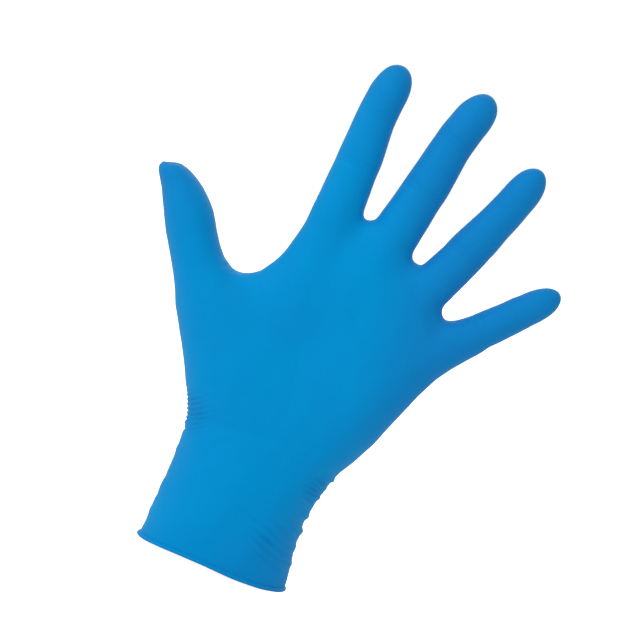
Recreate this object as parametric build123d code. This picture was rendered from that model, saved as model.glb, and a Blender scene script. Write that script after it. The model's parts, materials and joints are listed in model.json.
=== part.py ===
"""Disposable nitrile glove, shaped as it is on an open left hand.

The real glove is one dipped film with a rolled bead at the cuff. The film is cut here where it bends over
the wrist and the finger joints, so each stretch that moves as one is its own thin shell and its own node.

Frame, in millimetres: the origin is the centre of the cuff opening on the plane of the rim, +Z runs up the
forearm, +X points to the little-finger side and the palm faces -Y.
"""

from build123d import *
import os
from math import cos, radians, sin, tan

# ---- driving dimensions --------------------------------------------------------------------------
FILM = 0.15  # wall of the film
GAP = 0.3  # clearance between two stretches of film at a bend
BEAD_RADIUS = 0.8  # the rolled rim
NOTCH_SPARE = 1.0  # degrees a bend is cut back beyond half of its travel

# Travel of each bend in degrees.
FLEX_TRAVEL = {"knuckle": (70, 20), "middle": (85, 0), "end": (57, 0)}  # towards the palm, backwards
THUMB_TRAVEL = {"knuckle": (5, 45), "end": (10, 70)}  # away from the fingers, towards them
THUMB_CLOSE = 25  # how far the whole thumb leans over towards the fingers as it swings in front of the palm
WRIST_BEND = (55, 50)  # forwards, backwards
WRIST_TILT = (30, 20)  # to the thumb side, to the little-finger side

WRIST_TILT_Z = 44.0
WRIST_BEND_Z = 64.0

# Ellipses across the sleeve of film: the left and right ends (x, z), then half the depth.
RIM = ((-35.6, 1.2), (33.8, -1.4), 22.5)  # along the middle of the rolled rim
SLEEVE = [
    ((-35.6, 2.1), (33.8, -0.5), 22.5),
    ((-33.4, 16.0), (33.0, 16.0), 22.0),
    ((-31.7, 40.0), (34.8, 40.0), 21.0),
    ((-32.0, 58.0), (41.0, 57.0), 20.0),
    ((-40.5, 80.0), (53.0, 76.0), 18.5),
    ((-38.0, 103.0), (60.0, 92.0), 17.0),
    ((-25.0, 128.0), (68.0, 104.0), 15.5),
    ((-13.0, 146.0), (73.0, 112.0), 13.5),
    ((-9.0, 162.0), (78.0, 118.0), 12.0),
]

# Each finger stands on its knuckle (x, z), leaning by tilt degrees from +Z towards +X. Its three lengths
# run from knuckle to middle joint to end joint to tip, and its radii are at those three joints. tip is the
# length of the rounded end, and FLATNESS is a finger's depth over its width.
FINGERS = {
    "index": {
        "knuckle": (0.2, 155.0),
        "tilt": 5.4,
        "lengths": (34.0, 23.0, 24.5),
        "radii": (10.9, 10.1, 9.0),
        "tip": 15.5,
    },
    "middle": {
        "knuckle": (25.0, 150.0),
        "tilt": 15.4,
        "lengths": (38.0, 26.0, 25.5),
        "radii": (10.8, 10.1, 9.0),
        "tip": 15.5,
    },
    "ring": {
        "knuckle": (47.2, 134.4),
        "tilt": 24.2,
        "lengths": (35.0, 25.0, 25.0),
        "radii": (9.8, 9.4, 8.3),
        "tip": 14.5,
    },
    "little": {
        "knuckle": (64.9, 122.8),
        "tilt": 46.0,
        "lengths": (21.0, 18.0, 19.6),
        "radii": (8.7, 8.0, 7.5),
        "tip": 15.5,
    },
}
FLATNESS = 0.92

THUMB = {
    "knuckle": (-40.4, 111.5),
    "tilt": -33.4,
    "lengths": (31.0, 31.0),
    "radii": (13.2, 11.2),
    "tip": 21.0,
}
THUMB_SADDLE_DROP = 38.0  # from the thumb's knuckle down to the saddle joint the whole thumb swings about
THUMB_ROOT_RADIUS = 16.0
THUMB_SADDLE_RADIUS = 21.0  # film nearer to the saddle joint than this belongs to the palm

SIDE_CLEARANCE = 3.0  # between a finger and the palm film beside it
VALLEY_DROP = 3.0  # the palm film ends this far below the line through the knuckles
FAR = 300.0  # longer than anything here


# ---- shared shapes -------------------------------------------------------------------------------
def standing_frame(point, tilt):
    """A plane at (x, z) whose Z leans by tilt degrees towards +X and whose Y stays the glove's Y."""
    lean = radians(tilt)
    origin = (point[0], 0, point[1])
    return Plane(origin=origin, x_dir=(cos(lean), 0, -sin(lean)), z_dir=(sin(lean), 0, cos(lean)))


def along(point, tilt, distance):
    """The (x, z) reached from point after distance along a direction that leans by tilt degrees."""
    lean = radians(tilt)
    return (point[0] + distance * sin(lean), point[1] + distance * cos(lean))


def finger_outline(heights, radii, tip, inset):
    """Half of a finger's lengthwise section: straight between joints, with an elliptic end."""
    top = heights[-1]
    shoulder = top - tip
    corners = [(0, heights[0])] + [(r - inset, h) for r, h in zip(radii, heights)]
    corners.append((radii[-1] - inset, shoulder))
    sides = Polyline(*corners)
    end = EllipticalCenterArc((0, shoulder), radii[-1] - inset, tip - inset, start_angle=0, arc_size=90)
    axis = Line((0, top - inset), (0, heights[0]))
    return make_face(sides + end + axis)


def finger_shell(heights, radii, tip, flatness):
    """A finger of film standing on the origin along +Z: a hollow turned shape, pressed flatter in Y."""
    section = finger_outline(heights, radii, tip, 0) - finger_outline(heights, radii, tip, FILM)
    turned = revolve(Plane.XZ * section, Axis.Z)
    return scale(turned, by=(1, flatness, 1))


def bend_cut(height, width, travel, upwards):
    """Corners of one side of a bend at height: a shallow roof that falls away by half of each travel."""
    towards, away = (tan(radians(t / 2 + NOTCH_SPARE)) * width for t in travel)
    sign = 1 if upwards else -1
    middle = height + sign * GAP / 2
    return [(-width, middle + sign * towards), (0, middle), (width, middle + sign * away)]


def stretch(low, high, width, across_x=False):
    """A slab that keeps what lies between two bends: corner lists from bend_cut, or plain heights."""
    bottom = low if isinstance(low, list) else [(-width, low), (width, low)]
    top = high if isinstance(high, list) else [(-width, high), (width, high)]
    face = make_face(Polyline(*bottom, *reversed(top), close=True))
    plane = Plane.XZ if across_x else Plane.YZ
    return extrude(plane * face, amount=FAR / 2, both=True)


# ---- sleeve: cuff, wrist and palm ----------------------------------------------------------------
def oval(section, inset):
    """The ellipse of a section, made smaller by inset all round."""
    left, right, depth = section
    across = Vector(right[0] - left[0], 0, right[1] - left[1])
    centre = ((left[0] + right[0]) / 2, 0, (left[1] + right[1]) / 2)
    plane = Plane(origin=centre, x_dir=across, z_dir=across.cross(Vector(0, 1, 0)))
    return plane * Ellipse(across.length / 2 - inset, depth - inset)


def sleeve_solid(inset):
    """The sleeve as one solid, made smaller by inset all round its sections."""
    return loft([oval(section, inset) for section in SLEEVE], ruled=True)


def wrist_centre(height):
    """x of the sleeve's middle at a height, between the two sections around it."""
    for (l0, r0, _), (l1, r1, _) in zip(SLEEVE, SLEEVE[1:]):
        if l0[1] <= height <= l1[1]:
            share = (height - l0[1]) / (l1[1] - l0[1])
            return (l0[0] + r0[0]) / 2 * (1 - share) + (l1[0] + r1[0]) / 2 * share


def cuff_bead():
    """The rolled rim, a round cord just below the edge of the sleeve."""
    path = oval(RIM, FILM / 2).edge()
    return sweep((path ^ 0) * Circle(BEAD_RADIUS), path=path)


def cuff_sleeve(sleeve):
    """The cuff film, up to the bend that tilts the hand sideways."""
    reach = FAR / 4
    centre = Pos(wrist_centre(WRIST_TILT_Z), 0, 0)
    top = bend_cut(WRIST_TILT_Z, reach, WRIST_TILT, upwards=False)
    return sleeve & centre * stretch(-reach, top, reach, across_x=True)


def wrist_band(sleeve):
    """The ring of film between the sideways bend below it and the forward bend above it."""
    reach = FAR / 4
    centre = Pos(wrist_centre(WRIST_TILT_Z), 0, 0)
    above = stretch(bend_cut(WRIST_TILT_Z, reach, WRIST_TILT, upwards=True), FAR, reach, across_x=True)
    below = stretch(-FAR, bend_cut(WRIST_BEND_Z, reach, WRIST_BEND, upwards=False), reach)
    return sleeve & centre * above & below


def palm(sleeve):
    """Palm and back of the hand, open at the wrist, at the four knuckles and at the root of the thumb."""
    reach = FAR / 4
    film = sleeve & stretch(bend_cut(WRIST_BEND_Z, reach, WRIST_BEND, upwards=True), FAR, reach)
    knuckles = [f["knuckle"] for f in FINGERS.values()]
    first, last = knuckles[0], knuckles[-1]
    line = [(first[0] - FAR, first[1]), *knuckles, (last[0] + FAR, last[1])]
    above = [(x, z - VALLEY_DROP) for x, z in line] + [(line[-1][0], FAR), (line[0][0], FAR)]
    film -= extrude(Plane.XZ * make_face(Polyline(*above, close=True)), amount=FAR / 2, both=True)
    for finger in FINGERS.values():
        film -= finger_room(finger)
    film -= thumb_room()
    return film.solids().sort_by(SortBy.VOLUME)[-1]  # without the crumb left between two fingers


def finger_room(finger):
    """What the palm leaves free for a finger to stand in and to bend at its knuckle."""
    reach = FAR / 4
    lane = Box(2 * (finger["radii"][0] + SIDE_CLEARANCE), FAR, FAR)
    above = stretch(bend_cut(0, reach, FLEX_TRAVEL["knuckle"], upwards=False), FAR, reach)
    return standing_frame(finger["knuckle"], finger["tilt"]).location * (lane & above)


def thumb_room():
    """What the palm leaves free for the thumb, at rest and leaned over, beyond the saddle joint."""
    saddle = thumb_saddle()
    half = THUMB_ROOT_RADIUS + SIDE_CLEARANCE
    room = None
    for turned in (0, THUMB_CLOSE):
        lane = stretch([(-FAR, 0), (half, 0)], [(-FAR, FAR), (half, FAR)], half, across_x=True)
        lane = standing_frame(saddle, THUMB["tilt"] + turned).location * lane
        room = lane if room is None else room + lane
    return room - Pos(saddle[0], 0, saddle[1]) * Sphere(THUMB_SADDLE_RADIUS)


def thumb_saddle():
    """The (x, z) of the joint at the root of the thumb."""
    return along(THUMB["knuckle"], THUMB["tilt"], -THUMB_SADDLE_DROP)


# ---- fingers -------------------------------------------------------------------------------------
def finger_nodes(name, finger):
    """The three stretches of one finger: base, mid and tip."""
    base, mid, end = finger["lengths"]
    joints = [0, base, base + mid]
    shell = finger_shell([*joints, base + mid + end], finger["radii"], finger["tip"], FLATNESS)
    width = finger["radii"][0] + 1
    travel = [FLEX_TRAVEL[bend] for bend in ("knuckle", "middle", "end")]
    below = [bend_cut(h, width, t, upwards=False) for h, t in zip(joints, travel)]
    above = [bend_cut(h, width, t, upwards=True) for h, t in zip(joints, travel)]
    pieces = {
        "base": shell & stretch(above[0], below[1], width),
        "mid": shell & stretch(above[1], below[2], width),
        "tip": shell & stretch(above[2], FAR, width),
    }
    place = standing_frame(finger["knuckle"], finger["tilt"]).location
    return {f"{name}_{part}": place * piece for part, piece in pieces.items()}


def thumb_nodes():
    """The three stretches of the thumb, whose knuckle and end bend sideways, towards +X.

    Its base starts on a ball about the saddle joint, so that it can swing there in any direction.
    """
    mid, end = THUMB["lengths"]
    r_knuckle, r_end = THUMB["radii"]
    drop = THUMB_SADDLE_DROP
    shell = finger_shell([-drop, 0, mid, mid + end], [THUMB_ROOT_RADIUS, r_knuckle, r_end], THUMB["tip"], 1)
    width = THUMB_ROOT_RADIUS + 1
    travel = [THUMB_TRAVEL[bend] for bend in ("knuckle", "end")]
    below = [bend_cut(h, width, t, upwards=False) for h, t in zip((0, mid), travel)]
    above = [bend_cut(h, width, t, upwards=True) for h, t in zip((0, mid), travel)]
    ball = Pos(0, 0, -drop) * Sphere(THUMB_SADDLE_RADIUS + GAP)
    pieces = {
        "base": (shell & stretch(-drop, below[0], width, across_x=True)) - ball,
        "mid": shell & stretch(above[0], below[1], width, across_x=True),
        "tip": shell & stretch(above[1], FAR, width, across_x=True),
    }
    place = standing_frame(THUMB["knuckle"], THUMB["tilt"]).location
    return {f"thumb_{part}": place * piece for part, piece in pieces.items()}


# ---- build ---------------------------------------------------------------------------------------
def build():
    sleeve = sleeve_solid(0) - sleeve_solid(FILM)
    nodes = {
        "cuff_bead": cuff_bead(),
        "cuff_sleeve": cuff_sleeve(sleeve),
        "wrist_band": wrist_band(sleeve),
        "palm_and_back": palm(sleeve),
        **thumb_nodes(),
    }
    for name, finger in FINGERS.items():
        nodes.update(finger_nodes(name, finger))
    return nodes


os.makedirs("parts", exist_ok=True)
for node, shape in build().items():
    export_step(shape, f"parts/{node}.step")
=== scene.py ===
import json
import math

import bpy
import numpy as np
from mathutils import Matrix, Vector
from mathutils.kdtree import KDTree


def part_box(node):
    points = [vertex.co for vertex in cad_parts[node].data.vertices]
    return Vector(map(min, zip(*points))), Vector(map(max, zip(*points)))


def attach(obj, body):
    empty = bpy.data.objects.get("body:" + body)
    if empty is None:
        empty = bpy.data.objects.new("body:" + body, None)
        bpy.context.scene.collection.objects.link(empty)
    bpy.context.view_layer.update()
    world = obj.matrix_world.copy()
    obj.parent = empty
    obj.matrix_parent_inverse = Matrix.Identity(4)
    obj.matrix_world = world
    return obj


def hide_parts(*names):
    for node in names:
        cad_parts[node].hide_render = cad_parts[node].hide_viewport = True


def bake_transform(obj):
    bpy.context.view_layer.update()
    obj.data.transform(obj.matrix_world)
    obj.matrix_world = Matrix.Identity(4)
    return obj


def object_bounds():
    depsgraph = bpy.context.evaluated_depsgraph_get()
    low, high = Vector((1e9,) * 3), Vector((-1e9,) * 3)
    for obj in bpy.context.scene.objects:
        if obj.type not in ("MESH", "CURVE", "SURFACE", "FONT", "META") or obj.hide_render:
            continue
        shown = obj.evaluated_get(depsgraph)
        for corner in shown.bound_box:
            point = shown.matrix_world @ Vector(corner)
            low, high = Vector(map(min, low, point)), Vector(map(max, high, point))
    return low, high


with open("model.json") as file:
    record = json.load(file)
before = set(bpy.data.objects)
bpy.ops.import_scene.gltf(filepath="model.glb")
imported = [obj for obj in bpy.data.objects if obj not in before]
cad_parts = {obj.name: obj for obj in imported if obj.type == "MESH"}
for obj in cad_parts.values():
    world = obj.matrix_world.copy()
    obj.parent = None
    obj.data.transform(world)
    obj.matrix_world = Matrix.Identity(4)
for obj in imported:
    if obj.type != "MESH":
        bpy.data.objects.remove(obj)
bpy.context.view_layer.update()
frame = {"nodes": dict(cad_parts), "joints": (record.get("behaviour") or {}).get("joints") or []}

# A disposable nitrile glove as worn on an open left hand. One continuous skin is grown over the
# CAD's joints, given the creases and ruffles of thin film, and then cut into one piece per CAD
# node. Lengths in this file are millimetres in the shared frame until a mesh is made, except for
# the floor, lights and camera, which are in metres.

MM = 0.001
CELL = 0.8  # spacing of the skin's vertices
FILM = 0.15  # wall thickness
FINGERS = ("index", "middle", "ring", "little")
DIGITS = FINGERS + ("thumb",)
FLATNESS = 0.92  # depth of a finger over its width
TIP_LENGTH = {"index": 15.5, "middle": 15.5, "ring": 15.6, "little": 15.9}
GRID_LOW = np.array([-100.0, -31.0, -4.0])
GRID_HIGH = np.array([118.0, 31.0, 242.0])


# ---- what the frame says -----------------------------------------------------------------------
def pivot(joint):
    """A point on a joint's axis, in mm."""
    found = next(j for j in frame["joints"] if j["name"] == joint)
    return np.array(found["pos_m"], float) / MM


def half_depth(node):
    """Half of a CAD node's depth along Y, in mm."""
    low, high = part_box(node)
    return (high.y - low.y) / 2 / MM


def reach(node, start, direction):
    """How far a CAD node goes from start along direction, in mm."""
    points = np.array([v.co for v in frame["nodes"][node].data.vertices], float) / MM
    return float(((points - start) @ direction).max())


def make_digit(name, root_joint):
    """A digit's own line: it starts at its root joint and has stations where it bends."""
    start = pivot(root_joint)
    end = pivot(f"{name}_end_bend")
    along = (end - start) / np.linalg.norm(end - start)
    across = np.array([along[2], 0.0, -along[0]])
    middle = pivot("thumb_bend" if name == "thumb" else f"{name}_mid_bend")
    return {
        "name": name,
        "start": start,
        "along": along,
        "across": across,
        "bends": [float((point - start) @ along) for point in (middle, end)],
        "length": reach(f"{name}_tip", start, along),
        "depths": [half_depth(f"{name}_{part}") for part in ("base", "mid", "tip")],
    }


DIGIT = {name: make_digit(name, f"{name}_bend") for name in FINGERS}
DIGIT["thumb"] = make_digit("thumb", "thumb_swing")
WRIST_TILT_Z = pivot("wrist_tilt")[2]
WRIST_BEND_Z = pivot("wrist_bend")[2]


# ---- small maths -------------------------------------------------------------------------------
def smoothstep(start, end, value):
    """0 up to start, 1 from end on, eased in between."""
    t = np.clip((value - start) / (end - start), 0.0, 1.0)
    return t * t * (3.0 - 2.0 * t)


def smooth_union(a, b, k):
    """The smaller of two distances, with a fillet of about k where they meet."""
    h = np.clip(0.5 + 0.5 * (b - a) / k, 0.0, 1.0)
    return b + (a - b) * h - k * h * (1.0 - h)


def smooth_overlap(a, b, k):
    """The larger of two distances, rounded in the same way."""
    return -smooth_union(-a, -b, k)


def ease(value, places, heights):
    """A curve through heights at places, level at each of them."""
    curve = heights[0]
    for start, end, low, high in zip(places, places[1:], heights, heights[1:]):
        curve = curve + (high - low) * smoothstep(start, end, value)
    return curve


def bump(value, centre, width):
    """A smooth hill of height 1."""
    return np.exp(-(((value - centre) / width) ** 2))


def hill(x, z, centre, tilt, sizes):
    """A smooth oval hill of height 1 in the XZ plane. sizes is (across, along)."""
    lean = math.radians(tilt)
    dx, dz = x - centre[0], z - centre[1]
    across = dx * math.cos(lean) - dz * math.sin(lean)
    along = dx * math.sin(lean) + dz * math.cos(lean)
    return np.exp(-((across / sizes[0]) ** 2) - (along / sizes[1]) ** 2)


def station(points, digit):
    """(distance along a digit, sideways offset) of points."""
    rel = points - digit["start"]
    return rel @ digit["along"], rel @ digit["across"]


def grid_station(x, z, digit):
    """The same for a grid, whose digits all lie in the XZ plane."""
    dx = x - digit["start"][0]
    dz = z - digit["start"][2]
    along, across = digit["along"], digit["across"]
    return dx * along[0] + dz * along[2], dx * across[0] + dz * across[2]


# ---- the skin as a distance field --------------------------------------------------------------
FINGER_FOOT = 22  # how far a finger's tube goes on below its knuckle, inside the palm
THUMB_FOOT = 8
# What is added to the CAD's radii at a finger's root, its two bends and the foot of its dome.
RADIUS_CHANGE = (0.25, 0.0, -0.15, -0.4)
DOME_POWER = 1.2  # more than 1 makes a fingertip blunter at its sides
PAD_SWELL = (0.5, 0.5, 0.9)  # pads of the root, middle and tip stretch, on the palm side
FOLD_SINK = (0.5, 0.4)  # folds at the two bends, on the palm side
KNUCKLE_SWELL = (0.7, 0.35)  # at the two bends, on the back
NAIL_SINK = 0.9

# How far each finger's middle line drifts sideways at its root, its two bends and its tip.
BOW = {
    "index": (0.8, 0.2, -0.8, 0.5),
    "middle": (0.6, 0.2, -0.8, 0.8),
    "ring": (-1.1, 0.25, 0.6, -0.2),
    "little": (-0.2, 0.6, 0.6, 0.5),
}


def finger_field(x, y, z, digit):
    """Distance to a finger: an oval tube that narrows from joint to joint and ends in a dome."""
    s, u = grid_station(x, z, digit)
    tip = TIP_LENGTH[digit["name"]]
    top = digit["length"] - tip
    first, second = digit["bends"]
    r0, r1, r2 = [d / FLATNESS for d in digit["depths"]]
    u = u - ease(s, [8, first, second, digit["length"]], BOW[digit["name"]])
    radii = np.array([r0, r1, r2, r2]) + RADIUS_CHANGE
    r = ease(s, [4, first, second, top], radii)
    pads = PAD_SWELL[0] * bump(s, first / 2, 9)
    pads = pads + PAD_SWELL[1] * bump(s, (first + second) / 2, 7)
    pads = pads + PAD_SWELL[2] * bump(s, second + 10, 7)
    folds = FOLD_SINK[0] * bump(s, first, 2.2) + FOLD_SINK[1] * bump(s, second, 2.0)
    knuckles = KNUCKLE_SWELL[0] * bump(s, first, 6) + KNUCKLE_SWELL[1] * bump(s, second, 5)
    nail_flat = NAIL_SINK * bump(s, digit["length"] - 7, 6)
    swell = np.clip(-y / r0, 0, 1) * (pads - folds)
    swell = swell + np.clip(y / r0, 0, 1) * (knuckles - nail_flat)
    dome = np.clip((s - top) / tip, 0, None) ** DOME_POWER * radii[-1]
    foot = np.clip(-FINGER_FOOT - s, 0, None)
    return np.sqrt(u**2 + (y / FLATNESS) ** 2 + dome**2 + foot**2) - r - swell


# The thumb is seen in profile: distance from its tip, how far the nail side and the pad side
# stand off its line, and its depth over its seen width.
THUMB_PROFILE = [
    (-1.0, 4.2, -4.2, 1.6),
    (-0.5, 5.3, -2.9, 1.6),
    (0.0, 6.2, -1.4, 1.6),
    (0.7, 6.4, 1.0, 1.55),
    (2.0, 6.9, 3.4, 1.5),
    (4.0, 7.15, 5.1, 1.4),
    (6.0, 7.35, 6.4, 1.34),
    (10.0, 7.6, 8.4, 1.24),
    (14.0, 8.2, 9.9, 1.18),
    (18.0, 8.9, 10.9, 1.14),
    (22.0, 9.7, 11.6, 1.10),
    (26.0, 10.3, 11.8, 1.07),
    (30.0, 10.8, 11.6, 1.05),
    (34.0, 11.1, 11.2, 1.04),
    (40.0, 11.6, 10.9, 1.04),
    (48.0, 12.2, 11.2, 1.02),
    (54.0, 13.2, 11.6, 1.00),
    (62.0, 14.9, 12.4, 0.97),
    (74.0, 16.2, 13.0, 0.96),
    (82.0, 16.8, 13.4, 0.95),
    (96.0, 18.2, 14.0, 0.94),
    (112.0, 17.5, 14.0, 0.92),
]


def thumb_field(x, y, z, digit):
    """Distance to the thumb: an oval tube whose two sides follow the profile."""
    s, u = grid_station(x, z, digit)
    below_tip = digit["length"] - s
    rows = np.array(THUMB_PROFILE)
    nail, pad, wide = (np.interp(below_tip, rows[:, 0], rows[:, i]) for i in (1, 2, 3))
    half = (nail + pad) / 2
    end = np.clip(rows[0, 0] - below_tip, 0, None)
    foot = np.clip(-THUMB_FOOT - s, 0, None)
    return np.sqrt((u - (pad - nail) / 2) ** 2 + (y / wide) ** 2 + end**2 + foot**2) - half


# Outline of cuff, wrist and palm: height, then the left or right edge.
PALM_LEFT = [
    (0, -35.4), (6, -34.7), (20, -33.2), (32, -32.4), (45, -31.6), (54, -31.6), (60, -32.1),
    (66, -33.4), (76, -35.6), (88, -38.6), (98, -39.6), (110, -36.0), (118, -31.6), (124, -27.5),
    (130, -21.6), (136, -17.3), (142, -14.0), (147, -11.8), (152, -9.0), (157, -6.0), (162, -3.5),
]
PALM_RIGHT = [
    (0, 34.2), (10, 33.4), (20, 33.3), (30, 33.1), (40, 35.2), (50, 38.3), (56, 41.1), (62, 44.9),
    (72, 50.5), (86, 56.6), (100, 62.8), (110, 68.0), (116, 71.6), (122, 76.2), (128, 81.3),
]
# Top of the palm, where the webs are: x, height.
WEB_LINE = [(-14, 165), (17.5, 166.0), (43.0, 154.7), (63.5, 134.7), (82, 127), (100, 138)]
# Distance below the webs, half of the depth there.
PALM_DEPTH = [
    (-4, 4.5), (2, 6.5), (12, 10.6), (30, 13.0), (60, 15.5), (95, 18.6), (125, 20.4), (168, 22.4),
]
# Height, how square the section is: 2 is an oval.
SQUARENESS = [(0, 2.0), (45, 2.1), (80, 2.5)]
# Mounds and hollows of the palm: height, middle, turn, (half-width, half-length).
PALM_MOUNDS = [
    (3.6, (-22, 92), -33, (15, 24)),
    (2.2, (44, 86), 22, (13, 26)),
    (-2.6, (12, 112), 10, (15, 20)),
    (1.2, (34, 140), 20, (26, 7)),
]
BACK_MOUND = (0.8, (22, 112), 15, (26, 30))
KNUCKLE_MOUND = 1.5
KNUCKLE_SIZE = (7, 8)
WEB_ROUNDING = 5.0


def palm_field(x, y, z):
    """Distance to cuff, wrist and palm: flat ovals with mounds, thinner towards the webs."""
    left = np.interp(z, *zip(*PALM_LEFT))
    right = np.interp(z, *zip(*PALM_RIGHT))
    below_web = np.interp(x, *zip(*WEB_LINE)) - z
    depth = np.interp(below_web, *zip(*PALM_DEPTH))
    front = 0.0
    for height, *place in PALM_MOUNDS:
        front = front + height * hill(x, z, *place)
    height, *place = BACK_MOUND
    back = height * hill(x, z, *place)
    for name in FINGERS:
        knuckle = DIGIT[name]["start"]
        back = back + KNUCKLE_MOUND * hill(x, z, (knuckle[0], knuckle[2]), 0, KNUCKLE_SIZE)
    depth = depth + np.where(y < 0, front, back)
    power = np.interp(z, *zip(*SQUARENESS))
    half = (right - left) / 2
    across = np.abs(x - (left + right) / 2) / half
    body = (across**power + np.abs(y / depth) ** power) ** (1 / power) - 1.0
    slopes = np.gradient(body, CELL)
    body = body / np.maximum(np.sqrt(sum(g * g for g in slopes)), 1e-4)
    return smooth_overlap(body, -below_web, WEB_ROUNDING)


# Height, fillet between thumb and palm: it is wide only in their web.
THUMB_FILLET = [(92, 7.0), (112, 16.6)]
FINGER_FILLET = 5.0


def skin_field():
    """Distance to the whole hand, on a regular grid."""
    axes = [np.arange(lo, hi, CELL) for lo, hi in zip(GRID_LOW, GRID_HIGH)]
    x, y, z = np.meshgrid(*axes, indexing="ij")
    fillet = np.interp(z, *zip(*THUMB_FILLET))
    thumb = thumb_field(x, y, z, DIGIT["thumb"])
    field = smooth_union(palm_field(x, y, z), thumb, fillet)
    for name in FINGERS:
        field = smooth_union(field, finger_field(x, y, z, DIGIT[name]), FINGER_FILLET)
    return field


# ---- the field as a mesh -----------------------------------------------------------------------
CORNERS = [(i, j, k) for i in (0, 1) for j in (0, 1) for k in (0, 1)]
EDGES = [(a, b) for a in CORNERS for b in CORNERS if sorted(np.subtract(b, a)) == [0, 0, 1]]


def corner_view(grid, corner):
    """The grid's value at one corner of each cell."""
    return grid[tuple(slice(c, n - 1 + c) for c, n in zip(corner, grid.shape))]


def surface_net(field):
    """(vertices, quads) where the field is zero, with one vertex in each cell it crosses."""
    inside = field < 0
    count = sum(corner_view(inside, c).astype(np.int8) for c in CORNERS)
    active = (count > 0) & (count < 8)
    number = np.full(active.shape, -1)
    number[active] = np.arange(active.sum())
    total = np.zeros((active.sum(), 3))
    hits = np.zeros(active.sum())
    for a, b in EDGES:
        fa = corner_view(field, a)[active]
        fb = corner_view(field, b)[active]
        crossed = (fa < 0) != (fb < 0)
        t = np.where(crossed, fa / np.where(crossed, fa - fb, 1.0), 0.0)
        total += crossed[:, None] * (np.array(a) + t[:, None] * (np.array(b) - np.array(a)))
        hits += crossed
    vertices = (np.argwhere(active) + total / hits[:, None]) * CELL + GRID_LOW
    quads = []
    step = np.eye(3, dtype=int)
    for axis in range(3):
        one, two = (axis + 1) % 3, (axis + 2) % 3
        start = np.moveaxis(inside, axis, 0)[:-1]
        stop = np.moveaxis(inside, axis, 0)[1:]
        edges = np.argwhere(np.moveaxis(start != stop, 0, axis))
        edges = edges[(edges[:, one] > 0) & (edges[:, two] > 0)]
        edges = edges[(edges[:, one] < active.shape[one]) & (edges[:, two] < active.shape[two])]
        ring = [edges, edges - step[one], edges - step[one] - step[two], edges - step[two]]
        quad = np.stack([number[tuple(r.T)] for r in ring], axis=1)
        starts_inside = inside[tuple(edges.T)]
        quad[~starts_inside] = quad[~starts_inside][:, ::-1]
        quads.append(quad)
    return vertices, np.concatenate(quads)


def sample(grid, points):
    """Values of a grid at points, blended between its nodes."""
    cell = (points - GRID_LOW) / CELL
    low = np.clip(np.floor(cell).astype(int), 0, np.array(grid.shape[:3]) - 2)
    t = cell - low
    value = 0.0
    for corner in CORNERS:
        share = np.prod(np.where(np.array(corner), t, 1 - t), axis=1)
        value = value + grid[tuple((low + corner).T)] * share
    return value


def settle_on(field, vertices, rounds=3):
    """Vertices moved along the field's slope until the field is zero there."""
    slopes = np.gradient(field, CELL)
    for _ in range(rounds):
        slope = np.stack([sample(g, vertices) for g in slopes], axis=1)
        size = np.maximum((slope**2).sum(axis=1), 1e-6)
        vertices = vertices - slope * (sample(field, vertices) / size)[:, None]
    return vertices


def relax(vertices, quads, rounds):
    """Vertices evened out among their neighbours."""
    pairs = np.concatenate([quads[:, [i, (i + 1) % 4]] for i in range(4)])
    here, there = np.concatenate([pairs, pairs[:, ::-1]]).T
    valence = np.bincount(here, minlength=len(vertices))
    for _ in range(rounds):
        sums = [np.bincount(here, vertices[there, i], len(vertices)) for i in range(3)]
        total = np.stack(sums, axis=1)
        vertices = vertices + 0.5 * (total / valence[:, None] - vertices)
    return vertices


def normals_of(vertices, quads):
    """Unit vertex normals, weighted by face area."""
    a, b, c, d = (vertices[quads[:, i]] for i in range(4))
    flat = np.cross(c - a, d - b)
    total = np.zeros_like(vertices)
    for i in range(4):
        np.add.at(total, quads[:, i], flat)
    return total / np.maximum(np.linalg.norm(total, axis=1), 1e-9)[:, None]


def keep_faces(vertices, quads, keep):
    """Only the kept quads, and the vertices they use."""
    quads = quads[keep]
    used = np.unique(quads)
    renumber = np.full(len(vertices), -1)
    renumber[used] = np.arange(len(used))
    return vertices[used], renumber[quads]


# ---- creases and ruffles -----------------------------------------------------------------------
def waves(points, lengths, seed):
    """A soft irregular surface made of a few crossed waves, about -1 to 1."""
    random = np.random.default_rng(seed)
    total = np.zeros(len(points))
    for length in lengths:
        for _ in range(4):
            direction = random.normal(size=3)
            direction /= np.linalg.norm(direction)
            phase = random.uniform(0, 2 * np.pi)
            total += np.sin(points @ direction * (2 * np.pi / length) + phase)
    return total / (2 * len(lengths))


# Folds of loose film: x, z, turn in degrees from +Z towards +X, half-width, half-length, and how
# far each stands out.
FOLDS = [
    (39.0, 51.6, 112, 1.0, 3.5, 0.85),
    (33.0, 48.5, 118, 1.0, 5.0, 0.45),
    (35.5, 42.0, 110, 1.1, 3.5, 0.6),
    (32.0, 44.8, 118, 1.0, 5.0, -0.4),
    (33.0, 32.4, 108, 1.4, 4.0, 0.8),
    (33.3, 24.9, 110, 1.3, 4.5, 0.95),
    (29.0, 26.8, 122, 1.2, 4.0, 0.45),
    (31.0, 20.6, 112, 1.3, 6.0, -0.6),
    (22.0, 18.0, 111, 1.3, 9.0, -0.75),
    (24.0, 13.6, 109, 1.2, 8.0, -0.65),
    (12.0, 25.0, 114, 1.5, 11.0, -0.45),
    (34.0, 9.4, 100, 1.3, 3.0, 0.6),
    (34.0, 14.5, 104, 1.4, 3.0, -0.3),
    (-31.5, 52.0, 78, 1.0, 2.5, -0.45),
    (-32.0, 54.6, 76, 1.0, 2.5, 0.35),
    (-32.0, 42.5, 80, 1.5, 3.0, 0.35),
    (-32.5, 29.0, 82, 1.6, 3.0, -0.3),
    (-33.5, 20.0, 84, 1.6, 3.0, -0.3),
    (-33.5, 12.0, 85, 1.6, 3.0, 0.3),
]

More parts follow.
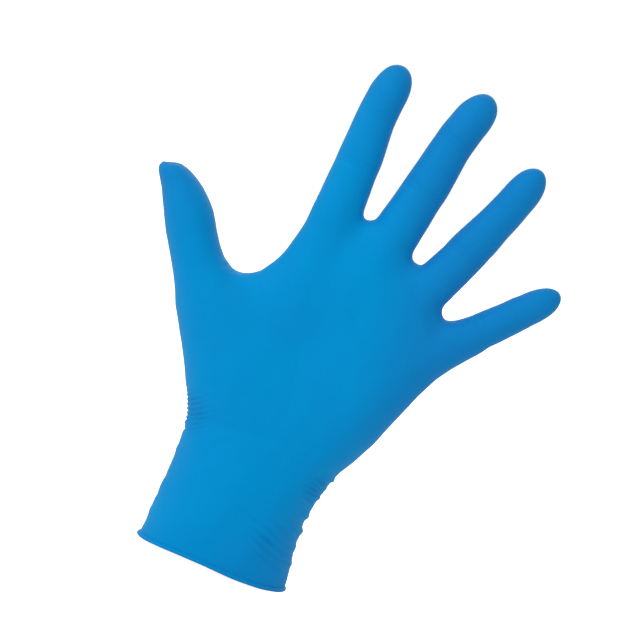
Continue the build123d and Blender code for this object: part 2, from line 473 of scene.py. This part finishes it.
# Fans of fine creases: middle, turn in degrees from +Z towards +X, spacing, extent, and how far
# they stand out.
FANS = [
    ((-30.0, -8.0, 61.0), 57, 2.0, 15.0, 0.45),
    ((31.0, -8.0, 47.0), 118, 2.6, 11.0, 0.6),
    ((24.0, -13.0, 18.0), 112, 4.0, 16.0, 0.5),
]


def fan(p, centre, turn, spacing, extent):
    """Heights of fine parallel creases round centre that wander slightly."""
    lean = math.radians(turn)
    across = p[:, 0] * math.cos(lean) - p[:, 2] * math.sin(lean)
    fade = smoothstep(extent, extent / 3, np.linalg.norm(p - centre, axis=1))
    return fade * np.sin(across * (2 * math.pi / spacing) + 2.0 * waves(p, (24,), 6))


WRIST_LINE_Z = 62  # the crease across the wrist
WRIST_LINE_DEPTH = 0.12


def ruffles(p):
    """How far the film stands off the hand, mainly in the loose cuff and at the wrist."""
    x, y, z = p.T
    loose = smoothstep(66, 30, z)
    rim = smoothstep(1, 8, z)
    out = 0.08 * waves(p, (9, 14), 1)
    out += 0.4 * loose * rim * waves(p * (1, 1, 0.7), (26, 17), 2)
    for fold_x, fold_z, turn, half_width, half_length, lift in FOLDS:
        out += lift * rim * hill(x, z, (fold_x, fold_z), turn, (half_width, half_length))
    for centre, turn, spacing, extent, lift in FANS:
        out += lift * rim * fan(p, centre, turn, spacing, extent)
    front = smoothstep(0, -10, y)
    from_wrist_line = z - WRIST_LINE_Z - 0.1 * x + 0.6 * waves(p, (34, 22), 3)
    out -= WRIST_LINE_DEPTH * front * bump(from_wrist_line, 0, 1.6)
    return out


THUMB_LINE_DEPTH = 0.16
HEART_LINE_DEPTH = 0.12
HEAD_LINE_DEPTH = 0.10


def palm_lines(p):
    """The shallow folds of the palm that show through the film."""
    x, y, z = p.T
    front = smoothstep(-2, -9, y)
    thumb = DIGIT["thumb"]["start"]
    round_thumb = np.hypot(x - thumb[0] + 4, (z - thumb[2]) * 0.82) - 34
    round_thumb += 0.5 * waves(p, (30,), 5)
    inner = smoothstep(66, 78, z) * smoothstep(24, 4, x) * smoothstep(134, 122, z)
    out = -THUMB_LINE_DEPTH * front * bump(round_thumb, 0, 2.0) * inner
    heart = z - (133 - 0.42 * x) + 0.012 * (x - 20) ** 2
    inner = smoothstep(4, 16, x) * smoothstep(62, 52, x)
    out -= HEART_LINE_DEPTH * front * bump(heart, 0, 1.8) * inner
    head = z - (122 - 0.5 * x) + 0.008 * (x - 10) ** 2
    inner = smoothstep(-14, -4, x) * smoothstep(48, 34, x)
    out -= HEAD_LINE_DEPTH * front * bump(head, 0, 1.8) * inner
    return out


WRINKLE_HEIGHT = 0.28  # over the knuckles
WRINKLE_SPACING = 2.2
FOLD_DEPTH = 0.22  # on the palm side of the joints
NAIL_HEIGHT = 0.28


def digit_details(p):
    """Folds at the finger joints, the wrinkles over the knuckles, and the edges of the nails."""
    y = p[:, 1]
    out = np.zeros(len(p))
    for name in FINGERS:
        digit = DIGIT[name]
        s, u = station(p, digit)
        r = digit["depths"][1] / FLATNESS
        near = smoothstep(r * 1.7, r * 1.3, np.abs(u)) * smoothstep(8, 14, s)
        back = smoothstep(0, 5, y)
        front = smoothstep(0, -5, y)
        for where in digit["bends"]:
            wrinkles = bump(s, where, 3.5) * np.cos((s - where) * (2 * np.pi / WRINKLE_SPACING))
            folds = bump(s, where - 1.2, 0.9) + bump(s, where + 1.4, 0.8)
            out += near * back * WRINKLE_HEIGHT * wrinkles
            out -= near * front * FOLD_DEPTH * folds
        nail_s = (s - (digit["length"] - 8.5)) / 6.5
        nail_u = u / (r * 0.72)
        edge = np.sqrt(nail_s**2 + nail_u**2)
        out += near * back * NAIL_HEIGHT * smoothstep(1.12, 0.92, edge)
    return out


# ---- the whole skin ----------------------------------------------------------------------------
RIM_WAVE = 0.95  # height of the rim's one long wave
RIM_WAVE_LENGTH = 76
RIM_WAVE_START = 8  # x of the wave's middle


def rim_line():
    """(slope, level) of the CAD's rolled rim, which leans a little."""
    bead = np.array([v.co for v in frame["nodes"]["cuff_bead"].data.vertices], float) / MM
    return np.polyfit(bead[:, 0], bead[:, 2], 1)


RIM_SLOPE, RIM_LEVEL = rim_line()


def rim_height(x):
    """Height of the middle of the rolled rim at x."""
    wave = np.sin((x - RIM_WAVE_START) * (2 * np.pi / RIM_WAVE_LENGTH))
    return RIM_LEVEL + RIM_SLOPE * x - RIM_WAVE * wave


def grow_skin():
    """The glove's outer surface, open at the cuff.

    Gives vertices, quads, normals, the vertices before creasing, and which are on the rim.
    """
    field = skin_field() - FILM  # the hand's surface, and the film on it
    vertices, quads = surface_net(field)
    vertices = settle_on(field, relax(vertices, quads, 2))
    above = (vertices[:, 2] > rim_height(vertices[:, 0]))[quads].any(axis=1)
    vertices, quads = keep_faces(vertices, quads, above)
    rim = rim_height(vertices[:, 0])
    on_rim = vertices[:, 2] <= rim
    vertices[on_rim, 2] = rim[on_rim]
    smooth = vertices.copy()
    lift = ruffles(smooth) + palm_lines(smooth) + digit_details(smooth)
    vertices = smooth + normals_of(smooth, quads) * lift[:, None]
    vertices[on_rim, 2] = rim[on_rim]
    return vertices, quads, normals_of(vertices, quads), smooth, on_rim


# ---- which piece a face belongs to, and how far it follows the outer body ----------------------
SPARE = 1.0  # the film is still this far to each side of a cut, so that no slit opens there
BEND_HALF = 8.5  # half of the length of film that takes up a bend inside a finger
ROOT_BELOW = 10.0  # the film at a finger's root starts to move this far below the knuckle
ROOT_ABOVE = 15.0  # and moves fully this far above it, or just before the next bend begins
# Width of the film beside a web that gives when its finger bends. It ends before the next cut.
WEB_STRETCH = {"index": 7.0, "middle": 7.0, "ring": 4.5, "little": 4.4}
WRIST_SPLIT = (WRIST_TILT_Z + WRIST_BEND_Z) / 2
PALM_FROM = 2 * WRIST_BEND_Z - WRIST_SPLIT + 2.0
WRIST_GIVE = 11.0  # the cuff's film starts to follow the wrist this far below its tilt axis
THUMB_OFF_WRIST = 16.0  # height above PALM_FROM from which the film may follow the thumb fully

# The thumb's film, by its station along the thumb's line and its offset from it. Lengths named
# NAIL_WEB come in pairs, for the thumb's nail side and its web side.
THUMB_SLANT = (-13.0, 13.0)  # offsets of the nail side and the web side
THUMB_ROOT = (2.0, 25.0)  # stations between which the film starts to follow the thumb
THUMB_WEB = (13.0, 32.0)  # offsets between which the film of the web stops following it
BASE_WIDTH = 33.0  # the base piece goes this far into the web
BASE_PAST_KNUCKLE = 30.0  # and this far past the knuckle there
OUTER_WIDTH = 26.0  # the outer pieces lie within this offset
MID_WEB_FROM = (13.5, 11.0)  # beyond this offset the middle piece begins this far past the knuckle
MID_CUT_NAIL_WEB = (-10.5, 9.0)  # from the knuckle to the middle piece's edge
MID_START_NAIL_WEB = (-9.0, 10.0)  # from the knuckle to where its film starts to follow
MID_GIVE_NAIL_WEB = (17.0, 7.0)  # length of the film that takes up the knuckle's bend
TIP_CUT = 10.5  # the tip's piece begins this far below the end joint
TIP_WIDTH = 20.0
END_HALF = 9.0  # half of the length of film that takes up the end joint's bend


def nearest_finger(p):
    """(number of the nearest finger's line, station on it)."""
    stations, offsets = zip(*(station(p, DIGIT[name]) for name in FINGERS))
    own = np.abs(offsets).argmin(axis=0)
    return own, np.array(stations)[own, np.arange(len(p))]


def slanted(u, nail_web):
    """A length that changes evenly from the thumb's nail side to its web side."""
    return np.interp(u, THUMB_SLANT, nail_web)


def root_above(name):
    """How far above its knuckle a finger's film first moves fully."""
    return min(ROOT_ABOVE, DIGIT[name]["bends"][0] - BEND_HALF - SPARE)


def finger_cut(name):
    """Station of the still film between a finger's root and its middle bend."""
    return (root_above(name) + DIGIT[name]["bends"][0] - BEND_HALF) / 2


def end_cut(name):
    """Station of the still film between a finger's two outer bends."""
    first, second = DIGIT[name]["bends"]
    return (first + second) / 2


def label(p):
    """The name of the piece that each point belongs to."""
    z = p[:, 2]
    above = z >= PALM_FROM
    name = np.where(above, "palm_and_back", "wrist_band").astype("<U16")
    name[z < WRIST_SPLIT] = "cuff_sleeve"
    s, u = station(p, DIGIT["thumb"])
    knuckle, end = DIGIT["thumb"]["bends"]
    index_side = (u > THUMB_WEB[0]) & (s > knuckle + BASE_PAST_KNUCKLE)
    in_base = (s > 0) & (u < BASE_WIDTH) & (p[:, 0] < 0) & ~index_side
    name[above & in_base] = "thumb_base"
    on_line = (np.abs(u) < OUTER_WIDTH) & (p[:, 0] < DIGIT["thumb"]["start"][0] + 12)
    off_web = (u < MID_WEB_FROM[0]) | (s > knuckle + MID_WEB_FROM[1])
    past_knuckle = s > knuckle + slanted(u, MID_CUT_NAIL_WEB)
    name[above & on_line & off_web & past_knuckle] = "thumb_mid"
    name[on_line & (s > end - TIP_CUT) & (u < TIP_WIDTH)] = "thumb_tip"
    own, s = nearest_finger(p)
    not_thumb = ~np.char.startswith(name, "thumb")
    for i, finger in enumerate(FINGERS):
        mine = (own == i) & above & not_thumb
        name[mine & (s > -ROOT_BELOW - SPARE)] = f"{finger}_base"
        name[mine & (s > finger_cut(finger))] = f"{finger}_mid"
        name[mine & (s > end_cut(finger))] = f"{finger}_tip"
    return name


def still_points(names, quads, vertices):
    """The points where a finger's base meets the next finger's or the palm. They stay still."""
    touching = np.zeros(len(vertices), int)
    for piece in [f"{finger}_base" for finger in FINGERS] + ["palm_and_back"]:
        touching[np.unique(quads[names == piece])] += 1
    return vertices[touching > 1]


def distance_to(points, targets):
    """Distance from each point to the nearest target."""
    tree = KDTree(len(targets))
    for i, target in enumerate(targets):
        tree.insert(target, i)
    tree.balance()
    return np.array([tree.find(point)[2] for point in points])


def follow(piece, p, still):
    """How far each point of a piece follows its outer body, 0 to 1."""
    z = p[:, 2]
    digit_name, _, part = piece.partition("_")
    if piece == "cuff_sleeve":
        return smoothstep(WRIST_TILT_Z - WRIST_GIVE, WRIST_SPLIT - SPARE, z)
    if piece == "wrist_band":
        return smoothstep(WRIST_SPLIT + SPARE, PALM_FROM - 1.5 * SPARE, z)
    s, u = station(p, DIGIT[digit_name])
    first, second = DIGIT[digit_name]["bends"]
    if piece == "thumb_base":
        off_web = 1 - smoothstep(*THUMB_WEB, u)
        off_wrist = smoothstep(PALM_FROM + SPARE, PALM_FROM + THUMB_OFF_WRIST, z)
        return smoothstep(*THUMB_ROOT, s) * off_web * off_wrist
    if piece == "thumb_mid":
        start = first + slanted(u, MID_START_NAIL_WEB)
        return smoothstep(start, start + slanted(u, MID_GIVE_NAIL_WEB), s)
    if piece == "thumb_tip":
        return smoothstep(second - END_HALF, second + END_HALF, s)
    if part == "base":
        free = smoothstep(0, WEB_STRETCH[digit_name], distance_to(p, still))
        return free * smoothstep(-ROOT_BELOW, root_above(digit_name), s)
    where = first if part == "mid" else second
    half = BEND_HALF
    if part == "tip":
        half = min(half, second - end_cut(digit_name) - 0.8 * SPARE)
    return smoothstep(where - half, where + half, s)


# ---- material ----------------------------------------------------------------------------------
def node(tree, kind, **inputs):
    """A new shader node with numbers set on its inputs."""
    made = tree.nodes.new(kind)
    for name, value in inputs.items():
        made.inputs[name.replace("_", " ")].default_value = value
    return made


def remap(tree, value, start, end, low, high):
    """The value taken from start..end to low..high, eased at both ends."""
    made = node(tree, "ShaderNodeMapRange")
    made.interpolation_type = "SMOOTHSTEP"
    limits = {"From Min": start, "From Max": end, "To Min": low, "To Max": high}
    for name, number in limits.items():
        made.inputs[name].default_value = number
    tree.links.new(value, made.inputs["Value"])
    return made.outputs["Result"]


def vector_math(tree, operation, vector, other):
    """The outputs of a vector operation on an output and a fixed vector."""
    made = node(tree, "ShaderNodeVectorMath")
    made.operation = operation
    tree.links.new(vector, made.inputs[0])
    made.inputs[1].default_value = other
    return made.outputs


def mix(tree, factor, a, b):
    """Blend of two colours. Each is an output or four numbers."""
    made = node(tree, "ShaderNodeMix")
    made.data_type = "RGBA"
    sockets = {i.identifier: i for i in made.inputs}
    tree.links.new(factor, sockets["Factor_Float"])
    for name, colour in (("A_Color", a), ("B_Color", b)):
        if isinstance(colour, tuple):
            sockets[name].default_value = colour
        else:
            tree.links.new(colour, sockets[name])
    return next(o for o in made.outputs if o.identifier == "Result_Color")


def bump_node(tree, height, normal, strength, distance):
    """A normal with bumps of the given height, on top of an earlier normal if there is one."""
    made = node(tree, "ShaderNodeBump", Strength=strength, Distance=distance)
    tree.links.new(height, made.inputs["Height"])
    if normal is not None:
        tree.links.new(normal, made.inputs["Normal"])
    return made.outputs["Normal"]


# Painted light: the palm's blue is lighter than the fingers' blue, standing in for the light on
# the centre-left of the palm. The fingers' blue is also more violet.
LIT_PALM_BLUE = (0.0006, 0.292, 0.665, 1)
FINGER_BLUE = (0.0060, 0.228, 0.590, 1)
LIT_LOOSEST = (-11.0, 0.0, 92.0)  # painted light is strongest here, and the film clings more and more with the distance from here
UPRIGHT = 0.5  # and heights count this much in that distance
LIT_LOOSE_REACH = 42.0  # within this distance it has the palm's blue, which is lighter as painted light
CLINGING_PAST_LIGHT_FROM = 80.0  # beyond this distance it has the fingers' blue
PATCHES = 0.25  # how much of the fingers' blue its faint patches have
ROUGHNESS = (0.48, 0.60)  # its range
SHEEN_BLUE = (0.05, 0.55, 1.0, 1)


def nitrile():
    """Thin blue nitrile: satin, finely grained, deeper and more violet in colour where it clings,
    and lighter on the centre-left of the palm as painted light.
    """
    material = bpy.data.materials.new("nitrile_film")
    material.use_nodes = True
    tree = material.node_tree
    shader = tree.nodes["Principled BSDF"]
    attribute = tree.nodes.new("ShaderNodeAttribute")
    attribute.attribute_name = "rest_mm"
    rest = attribute.outputs["Vector"]
    cloud, speck, grain = (
        node(tree, "ShaderNodeTexNoise", Scale=scale, Detail=detail, Roughness=0.55)
        for scale, detail in ((0.03, 2.0), (0.9, 2.0), (2.6, 1.0))
    )
    for texture in (cloud, speck, grain):
        tree.links.new(rest, texture.inputs["Vector"])

    squashed = vector_math(tree, "MULTIPLY", rest, (1, 1, UPRIGHT))["Vector"]
    lit_loosest_squashed = (LIT_LOOSEST[0], LIT_LOOSEST[1], LIT_LOOSEST[2] * UPRIGHT)
    distance = vector_math(tree, "DISTANCE", squashed, lit_loosest_squashed)["Value"]
    away = remap(tree, distance, LIT_LOOSE_REACH, CLINGING_PAST_LIGHT_FROM, 0.0, 1.0)
    # Painted light: the colour is lighter near the centre-left of the palm and deepens to the
    # fingers' blue with the distance from there.
    lit_and_clinging_blue = mix(tree, away, LIT_PALM_BLUE, FINGER_BLUE)
    patches = remap(tree, cloud.outputs["Fac"], 0.3, 0.7, 0.0, PATCHES)
    tree.links.new(mix(tree, patches, lit_and_clinging_blue, FINGER_BLUE), shader.inputs["Base Color"])
    roughness = remap(tree, speck.outputs["Fac"], 0.2, 0.8, *ROUGHNESS)
    tree.links.new(roughness, shader.inputs["Roughness"])

    normal = bump_node(tree, grain.outputs["Fac"], None, 0.2, 0.0001)
    normal = bump_node(tree, speck.outputs["Fac"], normal, 0.3, 0.0002)
    tree.links.new(normal, shader.inputs["Normal"])
    shader.inputs["IOR"].default_value = 1.5
    shader.inputs["Specular IOR Level"].default_value = 0.22
    shader.inputs["Specular Tint"].default_value = SHEEN_BLUE
    return material


NITRILE = nitrile()


# ---- pieces ------------------------------------------------------------------------------------
def make_object(name, vertices, faces, normals, rest):
    """A film object from vertices in mm. rest, where they lie at rest, places the texture."""
    mesh = bpy.data.meshes.new(name)
    mesh.from_pydata((vertices * MM).tolist(), [], faces.tolist())
    mesh.update()
    mesh.polygons.foreach_set("use_smooth", [True] * len(mesh.polygons))
    if normals is not None:
        mesh.normals_split_custom_set_from_vertices(normals.tolist())
    place = mesh.attributes.new("rest_mm", "FLOAT_VECTOR", "POINT")
    place.data.foreach_set("vector", rest.astype(np.float32).ravel())
    mesh.materials.append(NITRILE)
    made = bpy.data.objects.new(name, mesh)
    bpy.context.scene.collection.objects.link(made)
    return made


def film(vertices, quads, normals):
    """A closed thin wall whose outer side is the given surface.

    Gives vertices, quads, normals, and the outer vertex that each vertex belongs to.
    """
    n = len(vertices)
    edges = np.concatenate([quads[:, [i, (i + 1) % 4]] for i in range(4)])
    keys = np.sort(edges, axis=1)
    _, first, count = np.unique(keys, axis=0, return_index=True, return_counts=True)
    rim = edges[first[count == 1]]
    walls = np.stack([rim[:, 1], rim[:, 0], rim[:, 0] + n, rim[:, 1] + n], axis=1)
    both = np.concatenate([vertices, vertices - FILM * normals])
    faces = np.concatenate([quads, quads[:, ::-1] + n, walls])
    owner = np.tile(np.arange(n), 2)
    return both, faces, np.concatenate([normals, -normals]), owner


# Each film piece: the CAD node it stands for, then the two bodies on either side of the joint it
# crosses.
BENDING = {"cuff_sleeve": ("cuff", "wrist"), "wrist_band": ("wrist", "palm")}
for digit in DIGITS:
    BENDING[f"{digit}_base"] = ("palm", f"{digit}_base")
    BENDING[f"{digit}_mid"] = (f"{digit}_base", f"{digit}_mid")
    BENDING[f"{digit}_tip"] = (f"{digit}_mid", f"{digit}_tip")


def cut_into_pieces(vertices, quads, normals, smooth):
    """One film object for each CAD node. Those listed in BENDING have their transforms applied;
    the palm's piece rides with the palm.
    """
    names = label(smooth[quads].mean(axis=1))
    still = still_points(names, quads, smooth)
    for piece in sorted(set(names)):
        mine = quads[names == piece]
        used = np.unique(mine)
        renumber = np.full(len(vertices), -1)
        renumber[used] = np.arange(len(used))
        v, f, n, owner = film(vertices[used], renumber[mine], normals[used])
        rest = smooth[used][owner]
        made = make_object(f"{piece}_film", v, f, n, rest)
        if piece in BENDING:
            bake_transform(made)
            weights = follow(piece, rest, still).astype(np.float32)
        else:
            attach(made, "palm")
        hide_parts(piece)


# ---- rolled bead -------------------------------------------------------------------------------
BEAD_RADIUS = 1.0
BEAD_LAP = 0.10  # how far the lap of the rolled film makes the bead's section oval
BEAD_SWELL = 0.07  # how unevenly it is rolled
BEAD_STEPS = 260
BEAD_SIDES = 14
RIM_ROUNDS = 6  # how often the film's ragged edge is evened out


def rim_path(low):
    """The film's lower edge as a closed, evened-out loop of BEAD_STEPS points."""
    centre = (low.min(axis=0) + low.max(axis=0)) / 2
    across, deep, _ = ((low - centre) / np.maximum(np.ptp(low, axis=0), 1e-6)).T
    angle = np.arctan2(deep, across)
    order = np.argsort(angle)
    turns = np.linspace(-np.pi, np.pi, BEAD_STEPS, endpoint=False)
    sides = [np.interp(turns, angle[order], low[order, i], period=2 * np.pi) for i in range(3)]
    loop = np.stack(sides, axis=1)
    for _ in range(RIM_ROUNDS):
        loop = (np.roll(loop, 1, axis=0) + loop + np.roll(loop, -1, axis=0)) / 3
    return loop


def make_bead(rim_points):
    """The rim, rolled up on itself: a cord with the lap of the film showing on its outside."""
    loop = rim_path(rim_points)
    ahead = np.roll(loop, -1, axis=0) - np.roll(loop, 1, axis=0)
    ahead /= np.linalg.norm(ahead, axis=1)[:, None]
    outwards = np.stack([ahead[:, 1], -ahead[:, 0], np.zeros(BEAD_STEPS)], axis=1)
    up = np.array([0.0, 0.0, 1.0])
    rings = []
    swell = 1.0 + BEAD_SWELL * waves(loop, (11, 19), 8)
    for turn in np.linspace(0, 2 * np.pi, BEAD_SIDES, endpoint=False):
        lap = 1.0 + BEAD_LAP * math.cos(2 * turn + 0.6)
        size = (BEAD_RADIUS * lap * swell)[:, None]
        rings.append(loop + size * (outwards * math.cos(turn) + up * math.sin(turn)))
    points = np.stack(rings, axis=1).reshape(-1, 3)
    number = np.arange(BEAD_STEPS * BEAD_SIDES).reshape(BEAD_STEPS, BEAD_SIDES)
    beside = np.roll(number, -1, axis=1)
    ring_after = np.roll(number, -1, axis=0)
    both_after = np.roll(beside, -1, axis=0)
    quads = np.stack([number, beside, both_after, ring_after], axis=-1).reshape(-1, 4)
    made = make_object("cuff_bead_roll", points, quads, None, points)
    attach(made, "cuff")
    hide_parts("cuff_bead")


vertices, quads, normals, smooth, on_rim = grow_skin()
cut_into_pieces(vertices, quads, normals, smooth)
make_bead(vertices[on_rim])


# ---- floor, light and camera -------------------------------------------------------------------
ROLL = 19.0  # the glove leans this much clockwise in the picture
ELEVATION = 5.0
CAMERA_DISTANCE = 1.15
PICTURE_WIDTH = 0.2854  # of the glove's own plane
AIM = (0.0103, 0.0, 0.1177)
WORLD_LIGHT = 0.58
WORLD_SEEN = 1.05
FLOOR_GLOW = 0.95
FLOOR_HALF = 4.0


def make_floor(height):
    """A wide floor just under the rim."""
    mesh = bpy.data.meshes.new("floor")
    half = FLOOR_HALF
    corners = [(-half, -half), (half, -half), (half, half), (-half, half)]
    mesh.from_pydata([(x, y, height) for x, y in corners], [], [(0, 1, 2, 3)])
    floor = bpy.data.objects.new("floor", mesh)
    bpy.context.scene.collection.objects.link(floor)
    mesh.materials.append(floor_material())


def floor_material():
    """Matt white, with a glow that only the camera sees, to meet the white background."""
    material = bpy.data.materials.new("floor_white")
    material.use_nodes = True
    tree = material.node_tree
    shader = tree.nodes["Principled BSDF"]
    shader.inputs["Base Color"].default_value = (0.9, 0.9, 0.9, 1)
    shader.inputs["Roughness"].default_value = 0.9
    shader.inputs["Emission Color"].default_value = (1, 1, 1, 1)
    seen = tree.nodes.new("ShaderNodeLightPath")
    glow = node(tree, "ShaderNodeMath")
    glow.operation = "MULTIPLY"
    glow.inputs[1].default_value = FLOOR_GLOW
    tree.links.new(seen.outputs["Is Camera Ray"], glow.inputs[0])
    tree.links.new(glow.outputs[0], shader.inputs["Emission Strength"])
    return material


def make_light(name, place, power):
    """A soft square light of one metre, aimed at the middle of the picture."""
    data = bpy.data.lights.new(name, "AREA")
    data.size = 1.0
    data.energy = power
    lamp = bpy.data.objects.new(name, data)
    lamp.location = place
    lamp.rotation_mode = "QUATERNION"
    lamp.rotation_quaternion = (Vector(AIM) - Vector(place)).to_track_quat("-Z", "Y")
    bpy.context.scene.collection.objects.link(lamp)


def make_camera():
    """A long lens that looks at the palm, rolled as the photograph is."""
    data = bpy.data.cameras.new("camera")
    data.sensor_width = 36.0
    data.lens = data.sensor_width * CAMERA_DISTANCE / PICTURE_WIDTH
    camera = bpy.data.objects.new("camera", data)
    tilt = math.radians(ELEVATION)
    back = Vector((0.0, -math.cos(tilt), math.sin(tilt)))
    turn = Matrix.Rotation(math.radians(ROLL), 4, back)
    upright = back.to_track_quat("Z", "Y").to_matrix().to_4x4()
    place = Matrix.Translation(Vector(AIM) + back * CAMERA_DISTANCE)
    camera.matrix_world = place @ turn @ upright
    bpy.context.scene.collection.objects.link(camera)
    bpy.context.scene.camera = camera


def make_world():
    """White for the camera, and a dimmer white for what lights the glove."""
    world = bpy.data.worlds.new("studio")
    world.use_nodes = True
    tree = world.node_tree
    background = tree.nodes["Background"]
    background.inputs["Color"].default_value = (1, 1, 1, 1)
    seen = tree.nodes.new("ShaderNodeLightPath")
    strength = node(tree, "ShaderNodeMapRange")
    strength.inputs["To Min"].default_value = WORLD_LIGHT
    strength.inputs["To Max"].default_value = WORLD_SEEN
    tree.links.new(seen.outputs["Is Camera Ray"], strength.inputs["Value"])
    tree.links.new(strength.outputs["Result"], background.inputs["Strength"])
    bpy.context.scene.world = world
    bpy.context.scene.view_settings.view_transform = "Standard"


seen_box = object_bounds()
make_floor(seen_box[0].z)
make_world()
make_light("key", (-0.75, -0.7, 0.95), 7.6)
make_light("fill", (0.5, -1.1, 0.1), 1.0)
make_light("back", (0.2, 0.9, 0.7), 2.5)
make_camera()
